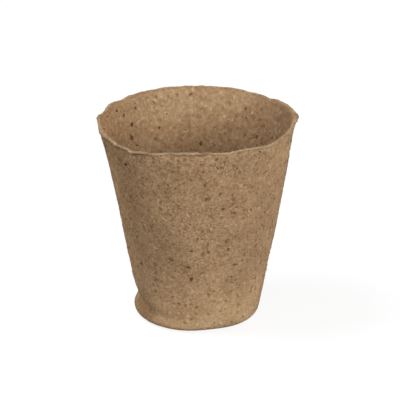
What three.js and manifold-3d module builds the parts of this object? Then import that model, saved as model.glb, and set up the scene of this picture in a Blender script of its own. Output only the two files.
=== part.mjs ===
// Moulded wood fibre seedling pot: a tapered felt wall on a felt base pan, a feathered rim lip above it,
// and the bark flecks and wood slivers that lie pressed into the felt.
// Millimetres, +Z up, origin at the middle of the base's underside. Angles are degrees from +X,
// counter-clockwise seen from above, so the front of the pot is at -90 and its left side at 180.
import * as THREE from "three";
import { mergeVertices } from "three/addons/utils/BufferGeometryUtils.js";
import Module from "manifold-3d";

// Overall sizes
const mouthDiameter = 80; // outside, at the rim
const footDiameter = 50.2; // outside, where the wall's line meets the ground
const potHeight = 84; // mean height of the rim

// Felt thicknesses
const wallThickness = 1.6;
const rimThickness = 1.1; // the rim is feathered
const floorThickness = 2;

// Where the felt parts: the lip above the wall, and the base pan below it
const lipHeight = 8;
const panHeight = 10;

// Rounded edges
const heelRadius = 2.4; // outside, between base and wall
const cornerRadius = 4; // inside, between floor and wall
const beadOverhang = 0.35; // how far the rim's bead stands out
const beadHeight = 1.3;
const beadRound = 0.35;

// The rim sags and flares at one place, front left, as it dried
const rimFlare = { angle: -134, spread: 27, outward: 2.4, droop: 0.5, reach: 26 };

// The heel is worn rounder at the front right
const heelWear = { angle: -76, spread: 24, size: 1.7 };

// The wall's foot slumped into a fold on the left: a bulge over the ground with a crease above it
const heelBulge = { angle: 203, spread: 58, size: 2.35, height: 2.3, half: 2.3 };
const heelCrease = { angle: 198, spread: 22, size: 2.4, height: 7, half: 4.2 };

// The mouth is a little out of round: waves round the pot that grow towards the rim
const mouthWaves = [
  { count: 1, size: 0.5, angle: 180 },
  { count: 3, size: 0.3, angle: 35 },
  { count: 5, size: 0.3, angle: 20 },
];
const waveGrowth = 3; // power of the height at which they grow

// The wall bows a little to the right at half height
const wallBow = { angle: 0, size: 0.4, height: 46, half: 26 };

// The rim's edge is uneven: long waves, a few nicks where it is torn, and swells between them
const rimWaves = [
  { count: 2, size: 0.15, angle: 100 },
  { count: 9, size: 0.15, angle: 30 },
];
const rimNicks = [
  { angle: 60, depth: 0.45, spread: 4 },
  { angle: 41, depth: 0.6, spread: 5 },
  { angle: 146, depth: 0.35, spread: 6 },
  { angle: 162, depth: 1.05, spread: 6.5 },
  { angle: -42, depth: 0.65, spread: 7 },
  { angle: -128, depth: 0.6, spread: 4 },
];
const rimSwells = [
  { angle: -98, height: 0.95, spread: 12 },
  { angle: -62, height: 0.9, spread: 10 },
  { angle: 18, height: 0.55, spread: 12 },
  { angle: 90, height: 0.25, spread: 70 },
];

// Ears where the rim is thicker and drawn out to either side
const rimEars = [
  { angle: 5, spread: 7, outward: 1.1, upward: 0.5 },
  { angle: 175, spread: 4.5, outward: 0.6, upward: 0.2 },
  { angle: 203, spread: 10, outward: 1.2, upward: 0 },
];
const earReach = 5; // how far down the lip they show

// The lip is a little thicker at the right, on the inside
const lipThickening = { angle: -18, spread: 22, inward: 0.55 };

// How finely the felt pieces are faceted
const segments = 96; // round the pot
const wallRows = 7;
const lipRows = 3;
const panRows = 4; // from the heel to the crease, and from the wall to the inside corner
const creaseRows = 2; // from the crease to the wall
const arcSteps = 4; // round the heel, and round the inside corner
const floorRings = 2;

// Flecks and slivers are chips pressed into pockets in the felt
const chipThickness = 0.5;
const chipProud = 0.12; // how far a chip stands out of the felt
const chipClearance = 0.2; // between a chip and its pocket
const fleckCorners = [1, 0.8, 0.95, 0.72, 1, 0.86, 0.76]; // an uneven outline, as shares of its half size
const sliverCorners = [1, 0.9, 0.85, 1, 0.9, 0.8];

// Each chip: angle round the pot, height as a share of the pot's, length, width, and tilt from level
const outerFlecks = [
  { angle: -135.5, up: 0.899, length: 1.5, width: 1.3, tilt: 45 },
  { angle: -110.5, up: 0.415, length: 2.6, width: 1.2, tilt: -32 },
  { angle: -95.5, up: 0.312, length: 1.8, width: 1.5, tilt: 65 },
  { angle: -97.5, up: 0.38, length: 2.2, width: 1, tilt: -28 },
  { angle: -70, up: 0.518, length: 2.1, width: 1.3, tilt: 70 },
  { angle: -74, up: 0.7, length: 1.6, width: 1, tilt: 8 },
  { angle: -85, up: 0.76, length: 1.8, width: 1.1, tilt: 40 },
  { angle: -65.5, up: 0.668, length: 1.4, width: 1.1, tilt: -35 },
  { angle: -141, up: 0.34, length: 1.6, width: 1.3, tilt: 62 },
  { angle: -125.3, up: 0.28, length: 1.5, width: 1.1, tilt: 0 },
  { angle: -95, up: 0.471, length: 1.4, width: 1, tilt: -20 },
  { angle: -90.5, up: 0.54, length: 1.4, width: 0.9, tilt: 85 },
  { angle: -68, up: 0.471, length: 1.3, width: 1, tilt: 75 },
  { angle: -86, up: 0.837, length: 1.7, width: 1, tilt: 68 },
  { angle: -91.5, up: 0.151, length: 1.4, width: 1, tilt: 6 },
  { angle: -76.4, up: 0.783, length: 1.8, width: 1.1, tilt: 60 },
  { angle: 98, up: 0.3, length: 1.8, width: 1.2, tilt: 15 },
  { angle: -61.2, up: 0.376, length: 2.8, width: 0.6, tilt: -9 },
  { angle: 48, up: 0.36, length: 1.8, width: 1.4, tilt: 25 },
  { angle: 83, up: 0.72, length: 2.1, width: 1.2, tilt: 60 },
  { angle: 118, up: 0.47, length: 1.7, width: 1.3, tilt: -10 },
  { angle: 156, up: 0.79, length: 1.9, width: 1.2, tilt: 30 },
  { angle: 178, up: 0.3, length: 1.6, width: 1.2, tilt: -55 },
];
const innerFlecks = [
  { angle: 139.5, up: 0.867, length: 2.4, width: 1.7, tilt: 65 },
  { angle: 141.5, up: 0.805, length: 3, width: 1.7, tilt: 105 },
  { angle: 88.5, up: 0.718, length: 2.3, width: 1.4, tilt: 88 },
  { angle: 117.5, up: 0.816, length: 1.5, width: 1.2, tilt: 40 },
  { angle: 46.5, up: 0.794, length: 1.8, width: 1.2, tilt: 75 },
  { angle: 121.4, up: 0.765, length: 2, width: 1.2, tilt: 45 },
  { angle: 57.5, up: 0.918, length: 1.6, width: 1.2, tilt: 78 },
  { angle: 134, up: 0.94, length: 1.3, width: 1.1, tilt: 40 },
  { angle: 145, up: 0.925, length: 1.8, width: 0.9, tilt: 40 },
  { angle: 95, up: 0.965, length: 1.7, width: 1.1, tilt: 45 },
  { angle: -60, up: 0.55, length: 1.8, width: 1.3, tilt: 10 },
  { angle: -130, up: 0.42, length: 1.7, width: 1.2, tilt: -45 },
];
const outerSlivers = [
  { angle: -97, up: 0.67, length: 2.8, width: 0.55, tilt: -52 },
  { angle: -113.8, up: 0.637, length: 2.8, width: 0.55, tilt: -42 },
  { angle: 30, up: 0.56, length: 3.4, width: 0.6, tilt: 28 },
  { angle: 140, up: 0.38, length: 3, width: 0.55, tilt: -70 },
];

// Sizes that follow from these
const mouthRadius = mouthDiameter / 2;
const footRadius = footDiameter / 2;
const taper = (mouthRadius - footRadius) / potHeight;
const lipBase = potHeight - lipHeight;

const feltMaterial = new THREE.MeshStandardMaterial({ color: 0x977a5b, roughness: 0.95, metalness: 0 });
const rimMaterial = new THREE.MeshStandardMaterial({ color: 0xa98b69, roughness: 0.95, metalness: 0 });
const barkMaterial = new THREE.MeshStandardMaterial({ color: 0x4a3526, roughness: 0.8, metalness: 0 });
const sliverMaterial = new THREE.MeshStandardMaterial({ color: 0xc3a67f, roughness: 0.8, metalness: 0 });

const wasm = await Module();
wasm.setup();

const radians = THREE.MathUtils.degToRad;
const bell = (x) => Math.exp(-x * x);
const cusp = (x) => Math.exp(-Math.abs(x));
const nearAngle = (angle, feature) => {
  const apart = THREE.MathUtils.euclideanModulo(angle - feature.angle + 180, 360) - 180;
  return bell(apart / feature.spread);
};
const wave = (angle, { count, size, angle: crest }) => size * Math.cos(radians(count * (angle - crest)));

// The height of the rim's edge
function rimTop(angle) {
  const waves = rimWaves.reduce((sum, w) => sum + wave(angle, w), 0);
  const nicks = rimNicks.reduce((sum, n) => sum + n.depth * nearAngle(angle, n), 0);
  const swells = rimSwells.reduce((sum, s) => sum + s.height * nearAngle(angle, s), 0);
  const ears = rimEars.reduce((sum, e) => sum + e.upward * nearAngle(angle, e), 0);
  return potHeight + waves + swells + ears - nicks - rimFlare.droop * nearAngle(angle, rimFlare);
}

// How far the ears stand out of the wall
function earsAt(angle, z) {
  const outward = rimEars.reduce((sum, e) => sum + e.outward * nearAngle(angle, e), 0);
  return outward * THREE.MathUtils.smoothstep(z, potHeight - earReach, potHeight);
}

// The wall's outside, without the rounding at its heel
function outerRadius(angle, z) {
  const growth = Math.max(z / potHeight, 0) ** waveGrowth;
  const waves = mouthWaves.reduce((sum, w) => sum + wave(angle, w), 0) * growth;
  const rise = THREE.MathUtils.smoothstep(z, potHeight - rimFlare.reach, potHeight);
  const flare = rimFlare.outward * nearAngle(angle, rimFlare) * rise;
  const atHeight = (feature, profile) => feature.size * profile((z - feature.height) / feature.half);
  const bulge = atHeight(heelBulge, bell) * nearAngle(angle, heelBulge);
  const crease = atHeight(heelCrease, cusp) * nearAngle(angle, heelCrease);
  const bow = atHeight(wallBow, bell) * Math.cos(radians(angle - wallBow.angle));
  return footRadius + taper * z + waves + flare + earsAt(angle, z) + bulge - crease + bow;
}

// The wall's inside: the felt thins through the lip to the rim, apart from where the lip is thicker
function innerRadius(angle, z) {
  const thinning = THREE.MathUtils.clamp((z - lipBase) / lipHeight, 0, 1);
  const thickness = THREE.MathUtils.lerp(wallThickness, rimThickness, thinning);
  const rise = THREE.MathUtils.smoothstep(z, lipBase, potHeight);
  const thicker = lipThickening.inward * nearAngle(angle, lipThickening) * rise;
  return outerRadius(angle, z) - earsAt(angle, z) - thickness - thicker;
}

// Even steps from one value to another, both included
function levels(from, to, steps) {
  return Array.from({ length: steps + 1 }, (_, i) => THREE.MathUtils.lerp(from, to, i / steps));
}

const outsideAt = (angle) => (z) => [outerRadius(angle, z), z];
const insideAt = (angle) => (z) => [innerRadius(angle, z), z];

// A closed body from the profile at each angle, which lists [radius, height] points up the outside and
// down the inside. A profile that starts and ends on the axis closes there, any other closes on itself.
function revolve(profileAt) {
  const profiles = Array.from({ length: segments }, (_, i) => profileAt((360 * i) / segments));
  const count = profiles[0].length;
  const onAxis = profiles[0][0][0] === 0;
  const positions = [];
  profiles.forEach((profile, i) => {
    const angle = (2 * Math.PI * i) / segments;
    profile.forEach(([r, z]) => positions.push(r * Math.cos(angle), r * Math.sin(angle), z));
  });
  const faces = [];
  for (let i = 0; i < segments; i++) {
    const next = (i + 1) % segments;
    for (let j = 0; j < (onAxis ? count - 1 : count); j++) {
      const up = (j + 1) % count;
      const [a, b, c, d] = [i * count + j, next * count + j, next * count + up, i * count + up];
      if (!onAxis || j > 0) faces.push(a, b, c);
      if (!onAxis || j < count - 2) faces.push(a, c, d);
    }
  }
  const geometry = new THREE.BufferGeometry();
  geometry.setAttribute("position", new THREE.Float32BufferAttribute(positions, 3));
  geometry.setIndex(faces);
  return geometry;
}

// The base pan: floor, heel and the foot of the wall
function basePanProfile(angle) {
  const round = heelRadius + heelWear.size * nearAngle(angle, heelWear);
  const heel = levels(-90, 0, arcSteps).map((turn) => {
    const z = round * (1 + Math.sin(radians(turn)));
    return [outerRadius(angle, z) - round * (1 - Math.cos(radians(turn))), z];
  });
  const corner = levels(0, -90, arcSteps).map((turn) => {
    const z = floorThickness + cornerRadius * (1 + Math.sin(radians(turn)));
    return [innerRadius(angle, z) - cornerRadius * (1 - Math.cos(radians(turn))), z];
  });
  const foot = [
    ...levels(round, heelCrease.height, panRows).slice(1),
    ...levels(heelCrease.height, panHeight, creaseRows).slice(1),
  ];
  const shoulder = levels(panHeight, floorThickness + cornerRadius, panRows).slice(0, -1);
  const rings = levels(0, 1, floorRings).slice(0, -1);
  return [
    ...rings.map((share) => [heel[0][0] * share, 0]),
    ...heel,
    ...foot.map(outsideAt(angle)),
    ...shoulder.map(insideAt(angle)),
    ...corner,
    ...rings.reverse().map((share) => [corner.at(-1)[0] * share, floorThickness]),
  ];
}

// The side wall stands on the pan and carries the lip
function sideWallProfile(angle) {
  const rows = levels(panHeight, lipBase, wallRows);
  return [...rows.map(outsideAt(angle)), ...rows.reverse().map(insideAt(angle))];
}

// The rim lip ends in a bead whose edge is rounded
function rimLipProfile(angle) {
  const top = rimTop(angle);
  const rows = levels(lipBase, top - beadHeight, lipRows);
  const [outside, inside] = [outerRadius(angle, top) + beadOverhang, innerRadius(angle, top)];
  return [
    ...rows.map(outsideAt(angle)),
    [outside, top - beadHeight + beadOverhang],
    [outside, top - beadRound],
    [outside - beadRound, top],
    [inside + beadRound, top],
    [inside, top - beadRound],
    ...rows.reverse().map(insideAt(angle)),
  ];
}

// A flat chip in its own plane, lying under z = 0, with its outline grown by a margin on every side
function chipGeometry(chip, corners, margin) {
  const outline = corners.map((share, i) => {
    const turn = (2 * Math.PI * i) / corners.length;
    const halfLength = (chip.length / 2) * share + margin;
    const halfWidth = (chip.width / 2) * share + margin;
    return new THREE.Vector2(halfLength * Math.cos(turn), halfWidth * Math.sin(turn));
  });
  const depth = chipThickness + 2 * margin;
  const geometry = new THREE.ExtrudeGeometry(new THREE.Shape(outline), { depth, bevelEnabled: false });
  return geometry.translate(0, 0, -chipThickness - margin);
}

// Seats a mesh on the wall's face: its z axis points out of the felt, and its x axis is level before the tilt
function seatOnWall(mesh, chip, radiusAt, facing) {
  const z = chip.up * potHeight;
  const angle = radians(chip.angle);
  const [cos, sin] = [Math.cos(angle), Math.sin(angle)];
  const radius = radiusAt(chip.angle, z);
  const normal = new THREE.Vector3(cos, sin, -taper).normalize().multiplyScalar(facing);
  const level = new THREE.Vector3(-sin, cos, 0).multiplyScalar(facing);
  const slope = new THREE.Vector3().crossVectors(normal, level);
  mesh.quaternion.setFromRotationMatrix(new THREE.Matrix4().makeBasis(level, slope, normal));
  mesh.rotateZ(radians(chip.tilt));
  mesh.position.set(radius * cos, radius * sin, z).addScaledVector(normal, chipProud);
  mesh.updateMatrix();
  return mesh;
}

// Chips of one kind, as named meshes with the cutters of their pockets
function chipSet(name, chips, corners, material, radiusAt, facing) {
  return chips.map((chip, i) => {
    const make = (margin) => new THREE.Mesh(chipGeometry(chip, corners, margin), material);
    const mesh = seatOnWall(make(0), chip, radiusAt, facing);
    const cutter = seatOnWall(make(chipClearance), chip, radiusAt, facing);
    mesh.name = `${name}_${i + 1}`;
    return { mesh, pocket: cutter.geometry.clone().applyMatrix4(cutter.matrix) };
  });
}

function solidOf(geometry) {
  const bare = new THREE.BufferGeometry().setAttribute("position", geometry.getAttribute("position"));
  if (geometry.index) bare.setIndex(geometry.index);
  const merged = mergeVertices(bare);
  const vertProperties = new Float32Array(merged.getAttribute("position").array);
  const triVerts = new Uint32Array(merged.index.array);
  return new wasm.Manifold(new wasm.Mesh({ numProp: 3, vertProperties, triVerts }));
}

function geometryOf(solid) {
  const { vertProperties, triVerts } = solid.getMesh();
  const geometry = new THREE.BufferGeometry();
  geometry.setAttribute("position", new THREE.BufferAttribute(vertProperties, 3));
  geometry.setIndex(new THREE.BufferAttribute(triVerts, 1));
  return geometry;
}

const [outward, inward] = [1, -1];
const chips = [
  ...chipSet("bark_fleck_outer", outerFlecks, fleckCorners, barkMaterial, outerRadius, outward),
  ...chipSet("bark_fleck_inner", innerFlecks, fleckCorners, barkMaterial, innerRadius, inward),
  ...chipSet("wood_sliver", outerSlivers, sliverCorners, sliverMaterial, outerRadius, outward),
];

// A felt piece has a pocket for each chip that lies in it
function feltPiece(name, profileAt, material) {
  const whole = solidOf(revolve(profileAt));
  const pocketed = chips.reduce((felt, { pocket }) => felt.subtract(solidOf(pocket)), whole);
  const mesh = new THREE.Mesh(geometryOf(pocketed), material);
  mesh.name = name;
  return mesh;
}

const pot = new THREE.Group();
pot.add(feltPiece("base_pan", basePanProfile, feltMaterial));
pot.add(feltPiece("side_wall", sideWallProfile, feltMaterial));
pot.add(feltPiece("rim_lip", rimLipProfile, rimMaterial));
chips.forEach(({ mesh }) => pot.add(mesh));

export default pot;
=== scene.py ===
"""Wood fibre seedling pot: its felt, flecks and fibres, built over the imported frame."""

import math

import bmesh
import bpy
import numpy as np
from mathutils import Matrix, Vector, noise


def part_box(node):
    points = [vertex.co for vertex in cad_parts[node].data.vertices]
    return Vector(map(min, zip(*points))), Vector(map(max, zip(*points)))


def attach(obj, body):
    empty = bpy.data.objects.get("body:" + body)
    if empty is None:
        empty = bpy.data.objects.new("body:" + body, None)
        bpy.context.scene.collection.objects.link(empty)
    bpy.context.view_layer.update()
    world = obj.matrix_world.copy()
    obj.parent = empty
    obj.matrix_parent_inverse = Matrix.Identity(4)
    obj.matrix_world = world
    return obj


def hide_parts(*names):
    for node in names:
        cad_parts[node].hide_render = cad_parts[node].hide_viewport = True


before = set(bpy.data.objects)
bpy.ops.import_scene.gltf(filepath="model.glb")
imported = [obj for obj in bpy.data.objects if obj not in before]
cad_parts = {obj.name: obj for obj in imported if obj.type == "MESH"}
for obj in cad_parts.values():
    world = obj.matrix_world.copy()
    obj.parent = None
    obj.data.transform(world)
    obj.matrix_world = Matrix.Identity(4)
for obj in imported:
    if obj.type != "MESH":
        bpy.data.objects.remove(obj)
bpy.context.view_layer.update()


def rgb(red, green, blue):
    return (red, green, blue, 1.0)


MM = 0.001
SEED = 7
rng = np.random.default_rng(SEED)
noise.seed_set(SEED)

# The pot's shape, in millimetres and degrees, as in the solids
MOUTH_RADIUS = 40
FOOT_RADIUS = 25.1
POT_HEIGHT = 84
WALL = 1.6
RIM = 1.1
FLOOR = 2
LIP_BASE = 76
PAN_TOP = 10
HEEL_RADIUS = 2.4
CORNER_RADIUS = 4
BEAD_OVERHANG = 0.1
BEAD_HEIGHT = 0.9
BEAD_ROUND = 0.6
TAPER = (MOUTH_RADIUS - FOOT_RADIUS) / POT_HEIGHT

# The pot's own departures from round, each at its angle and, where it has one, its height
FLARE = {"angle": -134, "spread": 27, "outward": 2.4, "droop": 0.5, "reach": 26}
BULGE = {"angle": 203, "spread": 58, "size": 2.35, "height": 2.3, "half": 2.3}
HEEL_WEAR = {"angle": -76, "spread": 24, "size": 1.7}
CREASE = {"angle": 198, "spread": 22, "size": 2.4, "height": 7, "half": 4.2}
BOW = {"angle": 0, "size": 0.4, "height": 46, "half": 26}
LIP_THICKENING = {"angle": -18, "spread": 22, "inward": 0.55}
LIP_SWELL = {"angle": 200, "spread": 24, "size": 0.45, "height": 78.5, "half": 4.5}

# Waves round the mouth and along the rim: count, size and the angle of a crest
MOUTH_WAVES = [(1, 0.5, 180), (3, 0.3, 35), (5, 0.3, 20)]
MOUTH_WAVES_GROW = 3
RIM_WAVES = [(2, 0.15, 100), (9, 0.15, 30)]

# Marks of the rim: middle angle, spread and size
NICKS = [
    (60, 4, 0.45),
    (41, 5, 0.6),
    (146, 6, 0.35),
    (162, 6.5, 1.05),
    (-42, 7, 0.65),
    (-128, 4, 0.6),
]
SWELLS = [(-98, 12, 0.95), (-62, 10, 0.9), (18, 12, 0.55), (90, 70, 0.25)]
TORN_LIFTS = [
    (-82, 8, 0.5),
    (-115, 8, 0.2),
    (-157, 10, 0.8),
    (-147, 6, 0.7),
    (156, 4, 0.5),
    (143.5, 3, -0.35),
    (129, 6, 0.4),
    (105, 3, -0.25),
    (89, 8, 0.15),
    (61.5, 2, 0.4),
    (56, 5, 0.15),
    (40, 8, 0.25),
    (15, 3, 0.35),
]
EARS_OUT = [(5, 7, 1.1), (175, 4.5, 0.6), (203, 10, 1.2)]
EARS_UP = [(5, 7, 0.5), (175, 4.5, 0.2)]
EAR_REACH = 5

# Stretches of the torn rim that show pale, partly as a painted highlight on its top, and those that
# curl over a groove darkened by painted shadow, in the same way
PALE_EDGES_AND_HIGHLIGHTS = [
    (-155, 5, 0.5),
    (-142, 6, 0.8),
    (-129, 4, 1),
    (-122, 3, 0.6),
    (-111, 4, 1),
    (-99, 4, 0.7),
    (-93, 4, 0.9),
    (-82, 3, 0.9),
    (-75, 4, 0.9),
    (-58, 12, 0.9),
    (-41, 5, 1),
    (-20, 12, 0.7),
]
CURLS = [
    (-141, 5, 0.5),
    (-124, 5, 1),
    (-113, 5, 0.5),
    (-100.5, 3.5, 0.9),
    (-89.5, 4, 0.9),
    (-55, 9, 0.4),
]
CURL_OVERHANG = 0.35
GROOVE_DEPTH = 0.15
GROOVE_WIDTH = 0.35
GROOVE_MARGIN = 0.15
GROOVE_PAINTED_SHADOW = 0.6

# Where the rim is darker along the front, and where the lower bead has painted shade, by middle angle
# and spread
DARKER_RIM = (-100, 38)
RIM_DARKENING = 0.4
SHADED = (-153, 10)
SHADED_BEAD = 0.4
SHADED_UP_TO = 60
SHADED_FADE = 50

# Where the rim is most ragged, by middle angle and spread, and the share of that at the back
FRONT = (-90, 75)
BACK_RAGGED = 0.4

# Paler and darker stretches of the felt, partly its own tone and partly painted light and painted
# shade, as at the lit top of the inside, the shaded underside of the heel's lobe and a crack at the
# rim: face, middle angle and height, spread round and up, and share
TONES_AND_PAINTED_LIGHT = [
    ("inside", 90, 84, 75, 14, 0.24),
    ("inside", 20, 78, 25, 14, -0.2),
    ("inside", 150, 68, 14, 7, -0.07),
    ("inside", 178, 78, 10, 14, 0.14),
    ("inside", 112, 67, 18, 9, 0.14),
    ("inside", 42, 71, 12, 7, 0.14),
    ("inside", 42, 82, 14, 4, -0.1),
    ("inside", 80, 62, 60, 10, 0.08),
    ("outside", -90, 8, 80, 14, 0.15),
    ("outside", -85, 55, 60, 30, -0.08),
    ("outside", 222, 40, 20, 26, -0.1),
    ("outside", 208, 3, 28, 5, -0.36),
    ("outside", 203, 60, 14, 20, 0.16),
    ("outside", 205, 26, 12, 12, 0.16),
    ("outside", -118, 38, 14, 14, -0.11),
    ("outside", -52, 24, 20, 13, -0.2),
    ("outside", -64, 76, 12, 6, -0.14),
    ("outside", -118, 58, 15, 9, 0.08),
    ("outside", 222, 8, 8, 8, -0.08),
    ("outside", -8, 60, 20, 30, 0.25),
    ("outside", -30, 10, 35, 16, 0.3),
    ("outside", -105, 3, 20, 6, 0.1),
    ("outside", -27, 78, 14, 8, 0.2),
    ("outside", -66, 47, 13, 8, -0.07),
    ("outside", -48, 20, 10, 8, -0.06),
    ("outside", -93, 22, 8, 5, -0.06),
    ("outside", -104, 82.2, 9, 1.3, 0.15),
    ("outside", -86, 82.2, 7, 1.3, 0.1),
    ("inside", 172, 80, 11, 8, 0.2),
    ("rim", -36, 84, 1, 3, -0.3),
    ("outside", -36, 81.5, 1, 1.2, -0.2),
    ("inside", 108, 83, 16, 5, 0.07),
    ("outside", -20, 30, 9, 8, 0.16),
]

# Warmer and cooler stretches of the felt, in the same way, and what full warmth adds to each colour
WARMTH = [
    ("inside", 165, 74, 25, 14, 0.4),
    ("inside", 105, 82, 35, 6, -0.3),
    ("outside", 208, 60, 22, 26, 0.3),
    ("outside", 212, 6.5, 16, 3.5, 0.7),
    ("outside", -72, 3, 50, 6, -0.4),
    ("rim", -90, 84, 90, 12, -0.6),
    ("inside", 105, 72, 55, 30, -0.16),
]
WARM_TINT = (0.04, -0.07, -0.2)

# Stretches of the outside whose grain shows less, in the same way, and how much less it shows inside
CALM = [
    ("outside", -35, 45, 28, 45, 0.42),
    ("outside", -90, 4, 70, 12, 0.3),
    ("outside", -145, 45, 20, 45, 0.15),
    ("outside", -27, 78, 15, 10, 0.4),
]
CALM_INSIDE = 0.82

# The radius within which all these stretches fade towards the pot's axis
FADE_WITHIN = 20

# How finely the felt is meshed, the turn of the bead's first and last row, and the share of a flat's
# radius at its innermost row
SEGMENTS = 360
ROW = 0.55
UNDERSIDE_ROWS = 30
HEEL_ROWS = 11
LIP_ROWS_OUTSIDE = 15
BEAD_ROWS = 11
BEAD_TURNS = (-20, 180)
LIP_ROWS_INSIDE = 14
CORNER_ROWS = 9
FLOOR_ROWS = 28
INNERMOST = 0.0001

# How rough the felt and its edge are, in layers of wavelength and size
ROUGHNESS = [(14, 0.22), (4.5, 0.13), (1.5, 0.1)]
RAGGED_EDGE = [(6, 0.45), (2.2, 0.5), (1.0, 0.3)]
BEAD_NOISE = [(4, 0.2), (1.5, 0.2)]
RIM_UNEVEN = [(3, 0.3), (1.2, 0.24)]
INSIDE_ROUGH = 0.7
FELT_SINK = 0.2
CHIP_HOLLOW = 0.12
CHIP_HOLLOW_REACH = 1.1
ROUGH_FROM_HEIGHT = 2
UNDERSIDE_ROUGH = 0.1

# Chips: how their nodes' names start, how their edges are worn, and which look fresh, faded or dull
CHIPS = ("bark_fleck", "wood_sliver")
WELD = 0.001
FLAT_ANGLE = 0.05
CHIP_BEVEL = 0.09
BEVEL_STEPS = 2
BEVEL_FULLNESS = 0.6
CHIP_UNEVEN = 0.05
CHIP_UNEVEN_LENGTH = 0.6
FRESH_BARK = ["outer_1", "outer_3", "outer_6", "inner_1", "inner_2", "inner_4", "inner_8", "inner_9"]
FADED_BARK = ["outer_5", "outer_10", "outer_15", "outer_16", "inner_5", "inner_6"]
DULL_WOOD = ["wood_sliver_2"]

# Fibres that lie on the wall, by count, radius and length, and how they lie
FIBRES = {"pale_fibres": (2100, 0.05, 2.8), "brown_fibres": (2300, 0.06, 2.2)}
FIBRE_SIDES = 3
FIBRE_POINTS = 6
FIBRE_OUTSIDE = 0.68
FIBRE_BEND = 1.6
FIBRE_LENGTHS = (-0.15, 0.45)
FIBRE_HEIGHTS = (3.2, 82)
FIBRE_LIFT = (-0.02, 0.1)
FIBRE_END_LIFT = 1.8
FIBRE_UNEVEN = (0.6, 1.3)
FIBRE_TAPER = 0.5

# The upward share of a fibre's direction past which it counts as steep
STEEP = 0.8

# Fibres that stand out of the rim
FUZZ_COUNT = 620
FUZZ_POINTS = 5
FUZZ_BELOW_TOP = (0.1, 1.0)
FUZZ_OUTSIDE = 0.65
FUZZ_LIFT = -0.25
FUZZ_LENGTH = (0.5, 1.5)
FUZZ_LEAN_OUT = 0.35
FUZZ_LEAN_ROUND = 1.1
FUZZ_UP = 0.25
FUZZ_UP_SPREAD = 0.3
FUZZ_CURL_ROUND = 0.5
FUZZ_CURL_OUT = 0.3
FUZZ_RADIUS = 0.04
FUZZ_UNEVEN = (0.6, 1.2)
FUZZ_TAPER = 0.6

# Heights of what is scattered on the wall, which is denser towards the top
SCATTER_FROM = 4
SCATTER_REACH = 78
SCATTER_LEAST = 0.02

# Crumbs of bark: how they lie, and their half length, half width and half depth for a size of 1
CRUMB_COUNT = 660
CRUMB_OUTSIDE = 0.7
CRUMB_LIFT = -0.02
CRUMB_SIZES = (-1.35, 0.4)
CRUMB_LIMITS = (0.12, 0.3)
CRUMB_UNEVEN = (0.75, 1.25)
CRUMB_LENGTH = 1.4
CRUMB_WIDTH = 0.8
CRUMB_DEPTH = 0.35

# Crumbs that show more than the others: angle, height, outside or not, and size
CRUMB_PLACES = [
    (-79.8, 81.6, True, 0.55),
    (-52.3, 82.0, True, 0.55),
    (-87.1, 76.3, True, 0.5),
    (150.8, 80.6, False, 0.8),
    (138.3, 63.7, False, 0.7),
    (-104, 68.6, True, 0.4),
    (-108.6, 70.1, True, 0.45),
    (-79, 77.8, True, 0.5),
    (-64.4, 58.7, True, 0.45),
    (-107.2, 13.9, True, 0.45),
    (-66.8, 76.7, True, 0.45),
    (-63.5, 26.2, True, 0.4),
    (-92.2, 35.4, True, 0.4),
    (69.4, 70.9, False, 0.5),
    (163, 80.9, False, 0.55),
    (26, 69.9, False, 0.5),
]

# The felt's colours and patterns, with wavelengths, widths and spacings in millimetres
FELT_DARK = rgb(0.212, 0.117, 0.053)
FELT_LIGHT = rgb(0.418, 0.281, 0.16)
GRAIN = {"wavelength": 1.2, "detail": 3.0, "roughness": 0.62}
PALE_THREADS = {"width": 0.55, "length": 3.0, "low": 0.62, "high": 0.74}
DARK_THREADS = {"width": 0.5, "length": 2.4, "low": 0.64, "high": 0.76}
DARK_SPECKS = {"spacing": 2.4, "low": 0.4, "high": 1.0}
PALE_SPECKS = {"spacing": 1.9, "low": 0.5, "high": 1.0}
CALM_THREADS = 0.7
EVEN_INSIDE = 0.55

# What is laid over the felt's grain: the share of it that shows, and its colour
PALE_THREADS_LAID = (0.48, rgb(0.49, 0.345, 0.208))
DARK_THREADS_LAID = (0.5, rgb(0.16, 0.084, 0.032))
DARK_SPECKS_LAID = (0.5, rgb(0.13, 0.062, 0.021))
PALE_SPECKS_LAID = (0.4, rgb(0.54, 0.39, 0.24))
# the colour of the rim's pale torn edge, partly a painted highlight
PALE_EDGES_AND_HIGHLIGHTS_LAID = (0.3, rgb(0.4, 0.28, 0.18))

# Clouds and blotches in the felt's level, and how much warmer its dark ones are
CLOUDS = {"wavelength": 13.0, "low": 0.9, "high": 1.1}
BLOTCHES = {"wavelength": 4.5, "low": -0.115, "high": 0.085}
INSIDE_BLOTCHES = {"wavelength": 1.7, "low": -0.235, "high": 0.205, "detail": 1.0}
WARMER_WHERE_DARK = 2.0

# How the felt's surface stands up and shines
FELT_BUMP = 0.6
FELT_BUMP_LESS_INSIDE = 0.25
FELT_BUMP_DISTANCE = 0.2
THREADS_STAND_UP = 0.4
FELT_SHINE = (0.95, 0.1)

# A noise's usual low and high ends
NOISE_ENDS = (0.25, 0.75)

# The specks' reach in their cell, the softness of their edge, and how they wobble
SPECK_REACH = 0.36
SPECK_EDGE = (-0.04, 0.05)
SPECK_WOBBLE = (0.35, 0.35, 0.35)
SPECK_WOBBLE_SCALE = 3.0
SPECK_WOBBLE_DETAIL = 1.0

# The detail of the threads' noise, and the turns of their directions
THREAD_DETAIL = 1.0
THREAD_TURNS = [
    (0.4, 0.2, 0),
    (1.2, 0.5, 0.8),
    (1.6, 1.1, 2.1),
    (0.8, 1.5, 1.3),
    (2.3, 0.7, 0.4),
]

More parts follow.
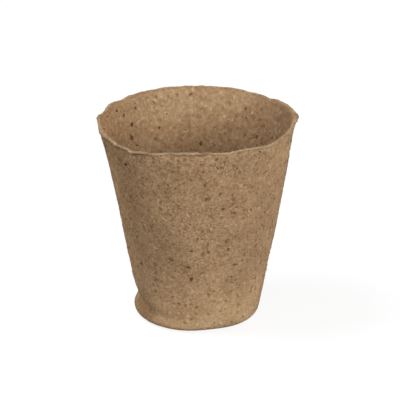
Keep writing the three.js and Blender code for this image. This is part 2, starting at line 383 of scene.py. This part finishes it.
# Bark, wood and fibre: dark and light colour, and the grain's wavelength
GRAINED = {
    "bark_crumb": (rgb(0.105, 0.052, 0.018), rgb(0.21, 0.11, 0.042), 4.0),
    "fresh_bark": (rgb(0.062, 0.026, 0.007), rgb(0.155, 0.077, 0.028), 9.0),
    "weathered_bark": (rgb(0.12, 0.063, 0.0245), rgb(0.175, 0.0985, 0.042), 4.0),
    "faded_bark": (rgb(0.165, 0.095, 0.041), rgb(0.225, 0.137, 0.067), 4.0),
    "pale_wood": (rgb(0.4, 0.27, 0.15), rgb(0.62, 0.46, 0.29), 0.4),
    "dull_wood": (rgb(0.34, 0.225, 0.125), rgb(0.43, 0.3, 0.18), 0.4),
    "pale_fibre": (rgb(0.39, 0.27, 0.165), rgb(0.51, 0.375, 0.24), 1.5),
    "brown_fibre": (rgb(0.155, 0.079, 0.032), rgb(0.255, 0.142, 0.06), 1.5),
}
GRAINED_DETAIL = 3.0
GRAINED_ENDS = (0.3, 0.7)
GRAINED_BUMP = 0.5
GRAINED_BUMP_DISTANCE = 0.1
GRAINED_SHINE = (0.9, 0.05)

# The ground, the light and the camera, in metres
GROUND_SIZE = 3.0
GROUND_GREY = rgb(0.5, 0.5, 0.5)
GROUND_SEEN = rgb(0.18, 0.18, 0.18)
GROUND_GLOW = 0.85
GROUND_SHINE = (0.9, 0.0)
WHITE = rgb(1, 1, 1)
WORLD_LEVEL = 0.3
LIT_POINT = (0, 0, 0.05)
LAMPS = {
    "left_top": {"place": (-0.6, 0, 1.0), "size": 0.6, "power": 10.1},
    "front_right": {"place": (0.58, -1.0, 0.5), "size": 0.5, "power": 13.0},
}
SENSOR = 36
LENS = 196.2
CAMERA_PLACE = (0, -0.8281, 0.3924)
CAMERA_TARGET = (0.0006, 0.0031, 0.0473)


def bell(x):
    return np.exp(-x * x)


def cusp(x):
    return np.exp(-np.abs(x))


def unit(vectors):
    return vectors / np.linalg.norm(vectors, axis=-1, keepdims=True)


def outward(angle, up=0.0):
    turn = np.radians(angle)
    return np.stack([np.cos(turn), np.sin(turn), up + 0 * turn], axis=-1)


def sideways(angle):
    turn = np.radians(angle)
    return np.stack([-np.sin(turn), np.cos(turn), 0 * turn], axis=-1)


def placed(radius, angle, z):
    """Points at a radius from the pot's axis, an angle and a height."""
    turn = np.radians(angle)
    return np.stack([radius * np.cos(turn), radius * np.sin(turn), z], axis=-1)


def near(angle, middle, spread):
    """1 at the middle angle, falling to 0 past its spread on either side."""
    return bell(((angle - middle + 180) % 360 - 180) / spread)


def beside(feature, angle):
    """How near an angle is to a feature's own, from 0 to 1."""
    return near(angle, feature["angle"], feature["spread"])


def at_height(feature, z, profile):
    return feature["size"] * profile((z - feature["height"]) / feature["half"])


def waves(angle, parts):
    return sum(size * np.cos(np.radians(count * (angle - crest))) for count, size, crest in parts)


def summed(angle, marks):
    return sum(size * near(angle, middle, spread) for middle, spread, size in marks)


def gathered(angle, marks):
    return np.minimum(summed(angle, marks), 1)


def rise(z, reach):
    """A smooth rise from 0 to 1 over the uppermost reach of the pot."""
    t = np.clip((z - POT_HEIGHT + reach) / reach, 0, 1)
    return t * t * (3 - 2 * t)


def rim_top(angle):
    raised = waves(angle, RIM_WAVES) + summed(angle, SWELLS) + summed(angle, EARS_UP)
    return POT_HEIGHT + raised - summed(angle, NICKS) - FLARE["droop"] * beside(FLARE, angle)


def heel_radius(angle):
    return HEEL_RADIUS + HEEL_WEAR["size"] * beside(HEEL_WEAR, angle)


def outer_lip(angle, z):
    """The ears and the swell, which only the lip's outside has."""
    ears = summed(angle, EARS_OUT) * rise(z, EAR_REACH)
    return ears + at_height(LIP_SWELL, z, bell) * beside(LIP_SWELL, angle)


def outer_radius(angle, z):
    grown = waves(angle, MOUTH_WAVES) * np.maximum(z / POT_HEIGHT, 0) ** MOUTH_WAVES_GROW
    flare = FLARE["outward"] * beside(FLARE, angle) * rise(z, FLARE["reach"])
    bulge = at_height(BULGE, z, bell) * beside(BULGE, angle)
    crease = at_height(CREASE, z, cusp) * beside(CREASE, angle)
    bow = at_height(BOW, z, bell) * np.cos(np.radians(angle - BOW["angle"]))
    return FOOT_RADIUS + TAPER * z + grown + flare + outer_lip(angle, z) + bulge - crease + bow


def inner_radius(angle, z):
    lip = POT_HEIGHT - LIP_BASE
    thinning = np.clip((z - LIP_BASE) / lip, 0, 1)
    thicker = LIP_THICKENING["inward"] * beside(LIP_THICKENING, angle) * rise(z, lip)
    return outer_radius(angle, z) - outer_lip(angle, z) - WALL + (WALL - RIM) * thinning - thicker


def steps(start, end, size):
    return np.linspace(start, end, max(2, round(abs(end - start) / size) + 1))


def felt_noise(points, layers):
    """Summed noise at each point, for layers of wavelength and size in millimetres."""
    total = np.zeros(len(points))
    for wavelength, size in layers:
        total += size * np.array([noise.noise(Vector(p)) for p in points / wavelength])
    return total


def chip_places():
    """The middle of each bark fleck and wood sliver, in millimetres."""
    names = [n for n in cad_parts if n.startswith(CHIPS)]
    return [np.array(sum(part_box(n), Vector())) / 2 / MM for n in names]


def grid_normals(points):
    round_pot = np.roll(points, -1, axis=1) - np.roll(points, 1, axis=1)
    along = np.gradient(points, axis=0)
    normals = np.cross(round_pot, along)
    normals[0] = (0, 0, -1)
    normals[-1] = (0, 0, 1)
    return unit(normals)


class FeltGrid:
    """The felt's surface as rows round the pot, from under its middle over the rim to its floor."""

    def __init__(self):
        self.angle = np.linspace(0, 360, SEGMENTS, endpoint=False)
        self.rows = []
        self.edge = []
        self.shade = []
        self.face = []
        self.marks = {}
        self.lay_underside()
        self.lay_outside()
        self.lay_rim()
        self.lay_inside()
        self.settle()

    def add(self, radius, z, face="outside", edge=0.0, shade=1.0):
        """One row, with how pale its torn edge is, partly as a painted highlight, and how much it is
        darkened, mostly by painted shade.
        """
        radius, z, edge, shade = (np.broadcast_to(v, SEGMENTS) for v in (radius, z, edge, shade))
        self.rows.append(placed(radius, self.angle, z))
        self.edge.append(edge)
        self.shade.append(shade)
        self.face.append(face)

    def mark(self, name):
        self.marks[name] = len(self.rows) - 1

    def lay_underside(self):
        heel = heel_radius(self.angle)
        flat = outer_radius(self.angle, 0) - heel
        for share in np.linspace(INNERMOST, 1, UNDERSIDE_ROWS)[:-1]:
            self.add(flat * share, 0)
        for turn in np.radians(np.linspace(-90, 0, HEEL_ROWS)):
            z = heel * (1 + math.sin(turn))
            self.add(outer_radius(self.angle, z) - heel * (1 - math.cos(turn)), z)

    def lay_outside(self):
        heel = heel_radius(self.angle)
        for share in steps(0, 1, ROW / (PAN_TOP - HEEL_RADIUS))[1:]:
            z = heel + (PAN_TOP - heel) * share
            self.add(outer_radius(self.angle, z), z)
        self.mark("pan_outside")
        for z in steps(PAN_TOP, LIP_BASE, ROW)[1:]:
            self.add(outer_radius(self.angle, z), z)
        self.mark("lip_outside")

    def lay_rim(self):
        """The lip's outside, its torn bead and its inside."""
        ring = placed(MOUTH_RADIUS, self.angle, 0 * self.angle)
        ragged = felt_noise(ring, RAGGED_EDGE)
        front = BACK_RAGGED + (1 - BACK_RAGGED) * near(self.angle, *FRONT)
        top = rim_top(self.angle) + front * (ragged - ragged.mean()) + summed(self.angle, TORN_LIFTS)
        curl = gathered(self.angle, CURLS)
        overhang = BEAD_OVERHANG + felt_noise(ring, BEAD_NOISE) + CURL_OVERHANG * curl
        uneven = felt_noise(ring, RIM_UNEVEN)
        outside = outer_radius(self.angle, top) + overhang
        inside = inner_radius(self.angle, top) + uneven
        tall = np.minimum((outside - inside) / 2, BEAD_ROUND)
        self.lay_lip_outside(top - BEAD_HEIGHT, curl)
        self.lay_bead(outside, inside, top - tall, tall)
        self.lay_lip_inside(top - tall, uneven)
        self.mark("lip_inside")

    def lay_lip_outside(self, under, curl):
        """The lip up to its bead, with a groove below the stretches that curl over, darkened by
        painted shadow.
        """
        below = under - GROOVE_WIDTH
        for share in np.linspace(0, 1, LIP_ROWS_OUTSIDE)[1:-1]:
            z = LIP_BASE + (below - GROOVE_MARGIN - LIP_BASE) * share
            self.add(outer_radius(self.angle, z), z)
        for z in (below, under):
            radius = outer_radius(self.angle, z) - GROOVE_DEPTH * curl
            # painted shadow in the groove under the curled lip
            self.add(radius, z, shade=1 - GROOVE_PAINTED_SHADOW * curl)

    def lay_bead(self, outside, inside, base, tall):
        """The rim's rounded edge, pale where it is freshly torn and partly with a painted highlight on
        top, darker along the front where it is not pale, and with painted shade low on it at the left
        end.
        """
        middle = (outside + inside) / 2
        half = (outside - inside) / 2
        # pale torn edge on the bead's top rows, partly a painted highlight
        pale = gathered(self.angle, PALE_EDGES_AND_HIGHLIGHTS)
        # darker along the front of the rim where it is not pale
        front_darkening = 1 - RIM_DARKENING * (1 - pale) * near(self.angle, *DARKER_RIM)
        for turn in np.linspace(*BEAD_TURNS, BEAD_ROWS):
            radius = middle + half * math.cos(math.radians(turn))
            z = base + tall * math.sin(math.radians(turn))
            low = np.clip((SHADED_UP_TO - turn) / SHADED_FADE, 0, 1)
            # painted shade on the lower rows of the bead at the left end
            shade = front_darkening * (1 - low * SHADED_BEAD * near(self.angle, *SHADED))
            self.add(radius, z, "rim", pale * (1 - low), shade)

    def lay_lip_inside(self, base, uneven):
        """The lip down from its bead, whose unevenness it soon loses."""
        for share in np.linspace(1, 0, LIP_ROWS_INSIDE)[1:]:
            z = LIP_BASE + (base - LIP_BASE) * share
            self.add(inner_radius(self.angle, z) + uneven * share**3, z, "inside")

    def lay_inside(self):
        for z in steps(LIP_BASE, PAN_TOP, ROW)[1:]:
            self.add(inner_radius(self.angle, z), z, "inside")
        self.mark("pan_inside")
        for z in steps(PAN_TOP, FLOOR + CORNER_RADIUS, ROW)[1:]:
            self.add(inner_radius(self.angle, z), z, "inside")
        for turn in np.radians(np.linspace(0, -90, CORNER_ROWS)[1:]):
            z = FLOOR + CORNER_RADIUS * (1 + math.sin(turn))
            self.add(inner_radius(self.angle, z) - CORNER_RADIUS * (1 - math.cos(turn)), z, "inside")
        flat = inner_radius(self.angle, FLOOR) - CORNER_RADIUS
        for share in np.linspace(1, INNERMOST, FLOOR_ROWS)[1:]:
            self.add(flat * share, FLOOR, "inside")

    def settle(self):
        """The felt's looks and its rough surface at each point of the rows."""
        rows = np.array(self.rows)
        height = rows[..., 2]
        self.fade = np.minimum(np.hypot(rows[..., 0], rows[..., 1]) / FADE_WITHIN, 1) ** 2
        self.edge = np.array(self.edge)
        # the tone holds the felt's own tone together with painted light and painted shade
        self.tone = (1 + self.stretches(height, TONES_AND_PAINTED_LIGHT)) * np.array(self.shade)
        self.warmth = self.stretches(height, WARMTH)
        self.inside = np.broadcast_to(self.on_face("inside"), height.shape)
        self.calm = CALM_INSIDE * self.inside + self.stretches(height, CALM)
        self.points = self.roughened(rows)
        self.normals = grid_normals(self.points)

    def on_face(self, face):
        """Whether each row lies on the face, as a column."""
        return np.array([[f == face] for f in self.face])

    def stretches(self, z, listed):
        """The summed shares of the listed stretches at each point."""
        total = np.zeros(z.shape)
        for face, angle, height, spread, reach, share in listed:
            round_pot = near(self.angle, angle, spread)
            total += share * self.on_face(face) * round_pot * bell((z - height) / reach)
        return total * self.fade

    def roughened(self, points):
        """The points with the felt's roughness, all but level underneath and hollow at each chip."""
        lift = felt_noise(points.reshape(-1, 3), ROUGHNESS).reshape(points.shape[:2])
        lift *= np.where(self.on_face("inside"), INSIDE_ROUGH, 1)
        lift -= FELT_SINK * self.on_face("outside")
        for chip in chip_places():
            lift -= CHIP_HOLLOW * bell(np.linalg.norm(points - chip, axis=2) / CHIP_HOLLOW_REACH)
        lift *= np.clip(points[..., 2] / ROUGH_FROM_HEIGHT, UNDERSIDE_ROUGH, 1)
        moved = points + grid_normals(points) * lift[..., None]
        moved[..., 2] = np.maximum(moved[..., 2], 0)
        return moved


def add_piece(name, mesh, material):
    """A smooth piece that rides on the pot."""
    mesh.polygons.foreach_set("use_smooth", [True] * len(mesh.polygons))
    mesh.materials.append(material)
    piece = bpy.data.objects.new(name, mesh)
    bpy.context.scene.collection.objects.link(piece)
    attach(piece, "root")
    return piece


def new_piece(name, points, faces, material, slot):
    """A piece made of points, in millimetres, and faces."""
    mesh = bpy.data.meshes.new(name)
    mesh.from_pydata((np.asarray(points) * MM).tolist(), [], [tuple(f) for f in faces])
    return add_piece(name, mesh, material)


def felt_faces(count, closed):
    """Faces between rows in order: back to the first where closed, and otherwise with end caps."""
    bands = count if closed else count - 1
    row, column = np.meshgrid(np.arange(bands), np.arange(SEGMENTS), indexing="ij")
    after = (row + 1) % count
    beyond = (column + 1) % SEGMENTS
    corners = [(row, column), (row, beyond), (after, beyond), (after, column)]
    quads = np.stack([r * SEGMENTS + c for r, c in corners], axis=-1)
    faces = quads.reshape(-1, 4).tolist()
    if not closed:
        faces.append(range(SEGMENTS - 1, -1, -1))
        faces.append(range((count - 1) * SEGMENTS, count * SEGMENTS))
    return faces


def felt_piece(grid, name, node, spans, closed, material, slot):
    """A stretch of the felt in place of its node, from spans of the grid's rows."""
    rows = np.concatenate([np.arange(first, last + 1) for first, last in spans])
    faces = felt_faces(len(rows), closed)
    piece = new_piece(name, grid.points[rows].reshape(-1, 3), faces, material, slot)
    piece.data.normals_split_custom_set_from_vertices(grid.normals[rows].reshape(-1, 3).tolist())
    for label in ("edge", "tone", "warmth", "inside", "calm"):
        values = getattr(grid, label)[rows].ravel().astype(np.float32)
        attribute = piece.data.attributes.new(label, "FLOAT", "POINT")
        attribute.data.foreach_set("value", values)
    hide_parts(node)


def build_felt(material):
    grid = FeltGrid()
    at = grid.marks
    last = len(grid.rows) - 1
    base = [(0, at["pan_outside"]), (at["pan_inside"], last)]
    wall = [(at["pan_outside"], at["lip_outside"]), (at["lip_inside"], at["pan_inside"])]
    rim = [(at["lip_outside"], at["lip_inside"])]
    felt_piece(grid, "base_felt", "base_pan", base, False, material, "felt")
    felt_piece(grid, "wall_felt", "side_wall", wall, True, material, "felt")
    felt_piece(grid, "rim_felt", "rim_lip", rim, True, material, "rim_felt")


def chip_look(name):
    """A chip's material and slot."""
    if name.startswith("wood_sliver"):
        return "dull_wood" if name in DULL_WOOD else "pale_wood", "sliver"
    place = name.removeprefix("bark_fleck_")
    if place in FRESH_BARK:
        return "fresh_bark", "bark"
    if place in FADED_BARK:
        return "faded_bark", "bark"
    return "weathered_bark", "bark"


def worn_chip(name, solid):
    """A chip's solid with its edges worn round, as a new mesh."""
    made = bmesh.new()
    made.from_mesh(solid)
    bmesh.ops.remove_doubles(made, verts=made.verts, dist=WELD * MM)
    bmesh.ops.dissolve_limit(made, angle_limit=FLAT_ANGLE, verts=made.verts, edges=made.edges)
    bevel = {"offset": CHIP_BEVEL * MM, "segments": BEVEL_STEPS, "profile": BEVEL_FULLNESS}
    bmesh.ops.bevel(made, geom=made.edges, affect="EDGES", **bevel)
    bmesh.ops.triangulate(made, faces=made.faces)
    for vert in made.verts:
        vert.co += CHIP_UNEVEN * MM * noise.noise_vector(vert.co / (CHIP_UNEVEN_LENGTH * MM))
    mesh = bpy.data.meshes.new(name)
    made.to_mesh(mesh)
    made.free()
    return mesh


def build_chips(materials):
    """Each chip of the solids, worn, in place of the plain one."""
    for name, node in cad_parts.items():
        if name.startswith(CHIPS):
            look, slot = chip_look(name)
            mesh = worn_chip(f"{name}_chip", node.data)
            piece = add_piece(f"{name}_chip", mesh, materials[look])
            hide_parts(name)


def tube_faces(count, length):
    """Faces of tubes that have a number of rings each, with both ends closed."""
    faces = []
    for start in range(0, count * length * FIBRE_SIDES, length * FIBRE_SIDES):
        for ring in range(length - 1):
            for side in range(FIBRE_SIDES):
                a = start + ring * FIBRE_SIDES + side
                b = start + ring * FIBRE_SIDES + (side + 1) % FIBRE_SIDES
                faces.append((a, b, b + FIBRE_SIDES, a + FIBRE_SIDES))
        end = start + (length - 1) * FIBRE_SIDES
        faces.append(range(start + FIBRE_SIDES - 1, start - 1, -1))
        faces.append(range(end, end + FIBRE_SIDES))
    return faces


def tubes(paths, radii):
    """Closed tubes along many paths of equal point count, as points and faces."""
    along = unit(np.gradient(paths, axis=1))
    helper = np.where(np.abs(along[..., 2:]) < STEEP, (0.0, 0.0, 1.0), (1.0, 0.0, 0.0))
    side = unit(np.cross(along, helper))
    other = np.cross(along, side)
    turns = 2 * np.pi * np.arange(FIBRE_SIDES) / FIBRE_SIDES
    ring = side[:, :, None] * np.cos(turns)[:, None] + other[:, :, None] * np.sin(turns)[:, None]
    points = paths[:, :, None] + ring * radii[:, :, None, None]
    return points.reshape(-1, 3), tube_faces(*paths.shape[:2])


def wall_points(angle, z, outside, lift):
    """Points on the wall's outside or inside, lifted off it."""
    outer = outer_radius(angle, z) + lift - FELT_SINK
    inner = inner_radius(angle, z) - lift
    return placed(np.where(outside, outer, inner), angle, z)


def scattered_heights(shape):
    return SCATTER_FROM + SCATTER_REACH * np.sqrt(rng.uniform(SCATTER_LEAST, 1, shape))


def lying_fibres(count, radius, length):
    """Short fibres that lie on the wall in all directions, bent, with their ends a little off it."""
    each = (count, 1)
    t = np.linspace(-0.5, 0.5, FIBRE_POINTS)
    z = scattered_heights(each)
    angle = rng.uniform(0, 360, each)
    outside = rng.uniform(0, 1, each) < FIBRE_OUTSIDE
    heading = rng.uniform(0, np.pi, each) + rng.normal(0, FIBRE_BEND, each) * t
    size = length * rng.lognormal(*FIBRE_LENGTHS, each)
    around = angle + np.degrees(size * t * np.cos(heading) / outer_radius(angle, z))
    height = np.clip(z + size * t * np.sin(heading), *FIBRE_HEIGHTS)
    lift = rng.uniform(*FIBRE_LIFT, each) + rng.uniform(0, FIBRE_END_LIFT, each) * np.abs(t) ** 3
    paths = wall_points(around, height, outside, lift)
    taper = 1 - FIBRE_TAPER * np.abs(2 * t) ** 3
    return tubes(paths, radius * rng.uniform(*FIBRE_UNEVEN, each) * taper)


def rim_fuzz(count):
    """Fibres that stick out of the rim's torn edge."""
    each = (count, 1)
    t = np.linspace(0, 1, FUZZ_POINTS)
    angle = rng.uniform(0, 360, each)
    z = rim_top(angle) - rng.uniform(*FUZZ_BELOW_TOP, each)
    outside = rng.uniform(0, 1, each) < FUZZ_OUTSIDE
    start = wall_points(angle, z, outside, FUZZ_LIFT)
    out = outward(angle)
    level = sideways(angle)
    lean = rng.normal(0, 1, (3, count, 1, 1))
    length = rng.uniform(*FUZZ_LENGTH, (count, 1, 1))
    up = np.array([0.0, 0.0, 1.0]) * (FUZZ_UP + FUZZ_UP_SPREAD * np.abs(lean[2]))
    away = unit(FUZZ_LEAN_OUT * out * lean[0] + FUZZ_LEAN_ROUND * level * lean[1] + up)
    curl_round = level * rng.normal(0, FUZZ_CURL_ROUND, (count, 1, 1))
    curl_out = out * rng.normal(0, FUZZ_CURL_OUT, (count, 1, 1))
    along = t[None, :, None]
    paths = start + length * (away * along + (curl_round + curl_out) * along**2)
    return tubes(paths, FUZZ_RADIUS * rng.uniform(*FUZZ_UNEVEN, each) * (1 - FUZZ_TAPER * t))


def icosphere():
    """The points and triangles of a ball of radius 1."""
    made = bmesh.new()
    bmesh.ops.create_icosphere(made, subdivisions=1, radius=1)
    points = np.array([v.co for v in made.verts])
    triangles = np.array([[v.index for v in f.verts] for f in made.faces])
    made.free()
    return points, triangles


def bark_crumbs(count):
    """Small uneven crumbs of bark, half sunk in the felt."""
    ball, triangles = icosphere()
    angle = rng.uniform(0, 360, count)
    z = scattered_heights(count)
    outside = rng.uniform(0, 1, count) < CRUMB_OUTSIDE
    chosen = len(CRUMB_PLACES)
    angle[:chosen], z[:chosen], outside[:chosen], chosen_size = np.array(CRUMB_PLACES).T
    places = wall_points(angle, z, outside, CRUMB_LIFT)
    out = outward(angle, -TAPER)
    level = sideways(angle)
    slope = np.cross(out, level)
    spin = rng.uniform(0, np.pi, (count, 1))
    long_way = level * np.cos(spin) + slope * np.sin(spin)
    short_way = slope * np.cos(spin) - level * np.sin(spin)
    size = np.clip(rng.lognormal(*CRUMB_SIZES, (count, 1, 1)), *CRUMB_LIMITS)
    size[:chosen, 0, 0] = chosen_size
    uneven = ball * rng.uniform(*CRUMB_UNEVEN, (count, len(ball), 1))
    shape = (
        uneven[..., :1] * long_way[:, None] * CRUMB_LENGTH
        + uneven[..., 1:2] * short_way[:, None] * CRUMB_WIDTH
        + uneven[..., 2:] * out[:, None] * CRUMB_DEPTH
    )
    points = places[:, None] + shape * size
    faces = triangles[None] + (np.arange(count) * len(ball))[:, None, None]
    return points.reshape(-1, 3), faces.reshape(-1, 3)


class Shader:
    """A material's nodes, made one call at a time."""

    def __init__(self, name):
        self.material = bpy.data.materials.new(name)
        self.material.use_nodes = True
        self.tree = self.material.node_tree
        self.surface = self.tree.nodes["Principled BSDF"]
        self.position = self.node("ShaderNodeTexCoord").outputs["Object"]

    def node(self, kind, inputs=None, **settings):
        made = self.tree.nodes.new(kind)
        for key, value in settings.items():
            setattr(made, key, value)
        for key, value in (inputs or {}).items():
            self.feed(made.inputs[key], value)
        return made

    def feed(self, socket, value):
        if isinstance(value, bpy.types.NodeSocket):
            self.tree.links.new(value, socket)
        else:
            socket.default_value = value

    def math(self, operation, *values):
        return self.node("ShaderNodeMath", dict(enumerate(values)), operation=operation).outputs[0]

    def times(self, first, second):
        return self.math("MULTIPLY", first, second)

    def plus(self, first, second):
        return self.math("ADD", first, second)

    def minus(self, first, second):
        return self.math("SUBTRACT", first, second)

    def vector_math(self, operation, inputs):
        return self.node("ShaderNodeVectorMath", inputs, operation=operation).outputs[0]

    def attribute(self, name):
        return self.node("ShaderNodeAttribute", attribute_name=name).outputs["Fac"]

    def scaled(self, wavelengths, rotation=(0, 0, 0)):
        """The position in wavelengths, which may differ along three turned axes, in millimetres."""
        size = [w * MM for w in wavelengths]
        inputs = {"Vector": self.position, "Rotation": rotation, "Scale": size}
        return self.node("ShaderNodeMapping", inputs, vector_type="TEXTURE").outputs[0]

    def noise(self, wavelength, detail=2.0, rotation=(0, 0, 0), roughness=0.5):
        lengths = wavelength if isinstance(wavelength, tuple) else (wavelength,) * 3
        vector = self.scaled(lengths, rotation)
        inputs = {"Vector": vector, "Scale": 1.0, "Detail": detail, "Roughness": roughness}
        return self.node("ShaderNodeTexNoise", inputs).outputs[0]

    def span(self, value, low, high):
        """A noise value stretched so that its usual ends reach low and high."""
        usual_low, usual_high = NOISE_ENDS
        inputs = {"Value": value, "From Min": usual_low, "From Max": usual_high}
        inputs |= {"To Min": low, "To Max": high}
        return self.node("ShaderNodeMapRange", inputs, clamp=False).outputs[0]

    def clouds(self, wavelength, low, high, detail=2.0):
        return self.span(self.noise(wavelength, detail), low, high)

    def window(self, value, low, high):
        """0 below low, 1 above high and smooth between them."""
        inputs = {"Value": value, "From Min": low, "From Max": high}
        return self.node("ShaderNodeMapRange", inputs, interpolation_type="SMOOTHSTEP").outputs[0]

    def mix(self, share, under, over):
        """Two colours mixed, through the sockets that the node has for a colour's share and ends."""
        made = self.node("ShaderNodeMix", data_type="RGBA")
        sockets = (made.inputs[0], made.inputs[6], made.inputs[7])
        for socket, value in zip(sockets, (share, under, over)):
            self.feed(socket, value)
        return made.outputs[2]

    def laid(self, under, mask, share, colour):
        """A colour laid over another where the mask is, at a share."""
        return self.mix(self.times(mask, share), under, colour)

    def specks(self, spacing, low, high):
        """Specks of uneven size and outline, one to a cell: 1 inside them."""
        place = self.scaled((spacing,) * 3)
        inputs = {"Vector": place, "Scale": SPECK_WOBBLE_SCALE, "Detail": SPECK_WOBBLE_DETAIL}
        wobble = self.node("ShaderNodeTexNoise", inputs).outputs["Color"]
        uneven = self.vector_math("MULTIPLY_ADD", {0: wobble, 1: SPECK_WOBBLE, 2: place})
        cells = self.node("ShaderNodeTexVoronoi", {"Vector": uneven, "Scale": 1.0})
        chance = self.node("ShaderNodeSeparateColor", {"Color": cells.outputs["Color"]}).outputs[0]
        reach = self.times(self.window(chance, low, high), SPECK_REACH)
        return self.window(self.minus(reach, cells.outputs["Distance"]), *SPECK_EDGE)

    def threads(self, width, length, low, high):
        """Thin streaks in several directions: 1 along them."""
        streaks = [self.noise((width, width, length), THREAD_DETAIL, turn) for turn in THREAD_TURNS]
        strongest = streaks[0]
        for streak in streaks[1:]:
            strongest = self.math("MAXIMUM", strongest, streak)
        return self.window(strongest, low, high)

    def set_colour(self, colour):
        self.feed(self.surface.inputs["Base Color"], colour)

    def set_bump(self, height, strength, distance):
        inputs = {"Height": height, "Strength": strength, "Distance": distance * MM}
        self.feed(self.surface.inputs["Normal"], self.node("ShaderNodeBump", inputs).outputs[0])

    def set_shine(self, roughness, specular):
        self.surface.inputs["Roughness"].default_value = roughness
        self.surface.inputs["Specular IOR Level"].default_value = specular


def felt_grain(s, grain, calm):
    """The felt's brown grain, nearer to its middle tone where the felt is calm."""
    fine = s.span(grain, 0.0, 1.0)
    calmed = s.times(s.minus(0.5, fine), calm)
    return s.mix(s.plus(fine, calmed), FELT_DARK, FELT_LIGHT)


def felt_level(s, inside, even):
    """How light the felt is, in clouds and blotches about a level of 1."""
    blotches = s.times(s.clouds(**BLOTCHES), even)
    level = s.times(s.clouds(**CLOUDS), s.plus(1.0, blotches))
    return s.times(level, s.plus(1.0, s.times(inside, s.clouds(**INSIDE_BLOTCHES))))


def felt_warmth(s, level):
    """The tint of the felt's warmer and cooler stretches, and of its warmer dark clouds."""
    warmer = s.times(s.minus(1.0, level), WARMER_WHERE_DARK)
    warmth = s.plus(s.attribute("warmth"), warmer)
    return s.vector_math("MULTIPLY_ADD", {0: warmth, 1: WARM_TINT, 2: (1, 1, 1)})


def felt_material():
    s = Shader("wood_fibre_felt")
    inside = s.attribute("inside")
    calm = s.attribute("calm")
    lively = s.minus(1.0, s.times(calm, CALM_THREADS))
    even = s.minus(1.0, s.times(inside, EVEN_INSIDE))
    grain = s.noise(**GRAIN)
    pale_threads = s.times(s.threads(**PALE_THREADS), lively)
    dark_threads = s.times(s.threads(**DARK_THREADS), lively)
    colour = felt_grain(s, grain, calm)
    colour = s.laid(colour, pale_threads, *PALE_THREADS_LAID)
    colour = s.laid(colour, dark_threads, *DARK_THREADS_LAID)
    colour = s.laid(colour, s.times(s.specks(**DARK_SPECKS), even), *DARK_SPECKS_LAID)
    colour = s.laid(colour, s.specks(**PALE_SPECKS), *PALE_SPECKS_LAID)
    level = felt_level(s, inside, even)
    # the tone attribute carries painted light and shade as well as the felt's own tone
    colour = s.vector_math("SCALE", {0: colour, "Scale": s.times(level, s.attribute("tone"))})
    colour = s.vector_math("MULTIPLY", {0: colour, 1: felt_warmth(s, level)})
    # the rim's pale edge, partly a painted highlight on its top
    s.set_colour(s.laid(colour, s.attribute("edge"), *PALE_EDGES_AND_HIGHLIGHTS_LAID))
    height = s.plus(grain, s.times(pale_threads, THREADS_STAND_UP))
    strength = s.minus(FELT_BUMP, s.times(inside, FELT_BUMP_LESS_INSIDE))
    s.set_bump(height, strength, FELT_BUMP_DISTANCE)
    s.set_shine(*FELT_SHINE)
    return s.material


def grained_material(name, dark, light, wavelength):
    """Bark, wood or fibre: two tones in a fine grain."""
    s = Shader(name)
    grain = s.noise(wavelength, GRAINED_DETAIL)
    s.set_colour(s.mix(s.window(grain, *GRAINED_ENDS), dark, light))
    s.set_bump(grain, GRAINED_BUMP, GRAINED_BUMP_DISTANCE)
    s.set_shine(*GRAINED_SHINE)
    return s.material


def floor_material():
    """A pale ground that the camera sees as white, apart from the pot's faint shadow."""
    s = Shader("white_ground")
    rays = s.node("ShaderNodeLightPath").outputs
    seen = s.math("MAXIMUM", rays["Is Camera Ray"], rays["Is Glossy Ray"])
    seen = s.math("MAXIMUM", seen, rays["Is Transmission Ray"])
    s.set_colour(s.mix(seen, GROUND_GREY, GROUND_SEEN))
    s.set_shine(*GROUND_SHINE)
    s.surface.inputs["Emission Color"].default_value = WHITE
    s.feed(s.surface.inputs["Emission Strength"], s.times(seen, GROUND_GLOW))
    return s.material


def build_floor():
    corners = [(-1, -1), (1, -1), (1, 1), (-1, 1)]
    mesh = bpy.data.meshes.new("ground")
    mesh.from_pydata([(x * GROUND_SIZE, y * GROUND_SIZE, 0) for x, y in corners], [], [(0, 1, 2, 3)])
    mesh.materials.append(floor_material())
    ground = bpy.data.objects.new("ground", mesh)
    bpy.context.scene.collection.objects.link(ground)


def aimed(data, location, target):
    """A lamp or camera at a place, turned towards a target."""
    made = bpy.data.objects.new(data.name, data)
    made.location = location
    made.rotation_euler = (Vector(target) - Vector(location)).to_track_quat("-Z", "Y").to_euler()
    bpy.context.scene.collection.objects.link(made)
    return made


def build_light():
    world = bpy.data.worlds.new("studio")
    world.use_nodes = True
    background = world.node_tree.nodes["Background"]
    background.inputs["Color"].default_value = WHITE
    background.inputs["Strength"].default_value = WORLD_LEVEL
    bpy.context.scene.world = world
    for name, settings in LAMPS.items():
        lamp = bpy.data.lights.new(name, "AREA")
        lamp.size = settings["size"]
        lamp.energy = settings["power"]
        aimed(lamp, settings["place"], LIT_POINT)


def build_camera():
    lens = bpy.data.cameras.new("camera")
    lens.sensor_width = SENSOR
    lens.lens = LENS
    bpy.context.scene.camera = aimed(lens, CAMERA_PLACE, CAMERA_TARGET)


def build_scattered(materials):
    """The fibres on the wall and on the rim, and the crumbs of bark."""
    for name, look in (("pale_fibres", "pale_fibre"), ("brown_fibres", "brown_fibre")):
        new_piece(name, *lying_fibres(*FIBRES[name]), materials[look], "felt")
    new_piece("rim_fuzz", *rim_fuzz(FUZZ_COUNT), materials["pale_fibre"], "rim_felt")
    new_piece("bark_crumbs", *bark_crumbs(CRUMB_COUNT), materials["bark_crumb"], "bark")


build_camera()
build_light()
build_floor()

grained = {name: grained_material(name, *look) for name, look in GRAINED.items()}
build_felt(felt_material())
build_chips(grained)
build_scattered(grained)

bpy.context.scene.view_settings.view_transform = "Standard"
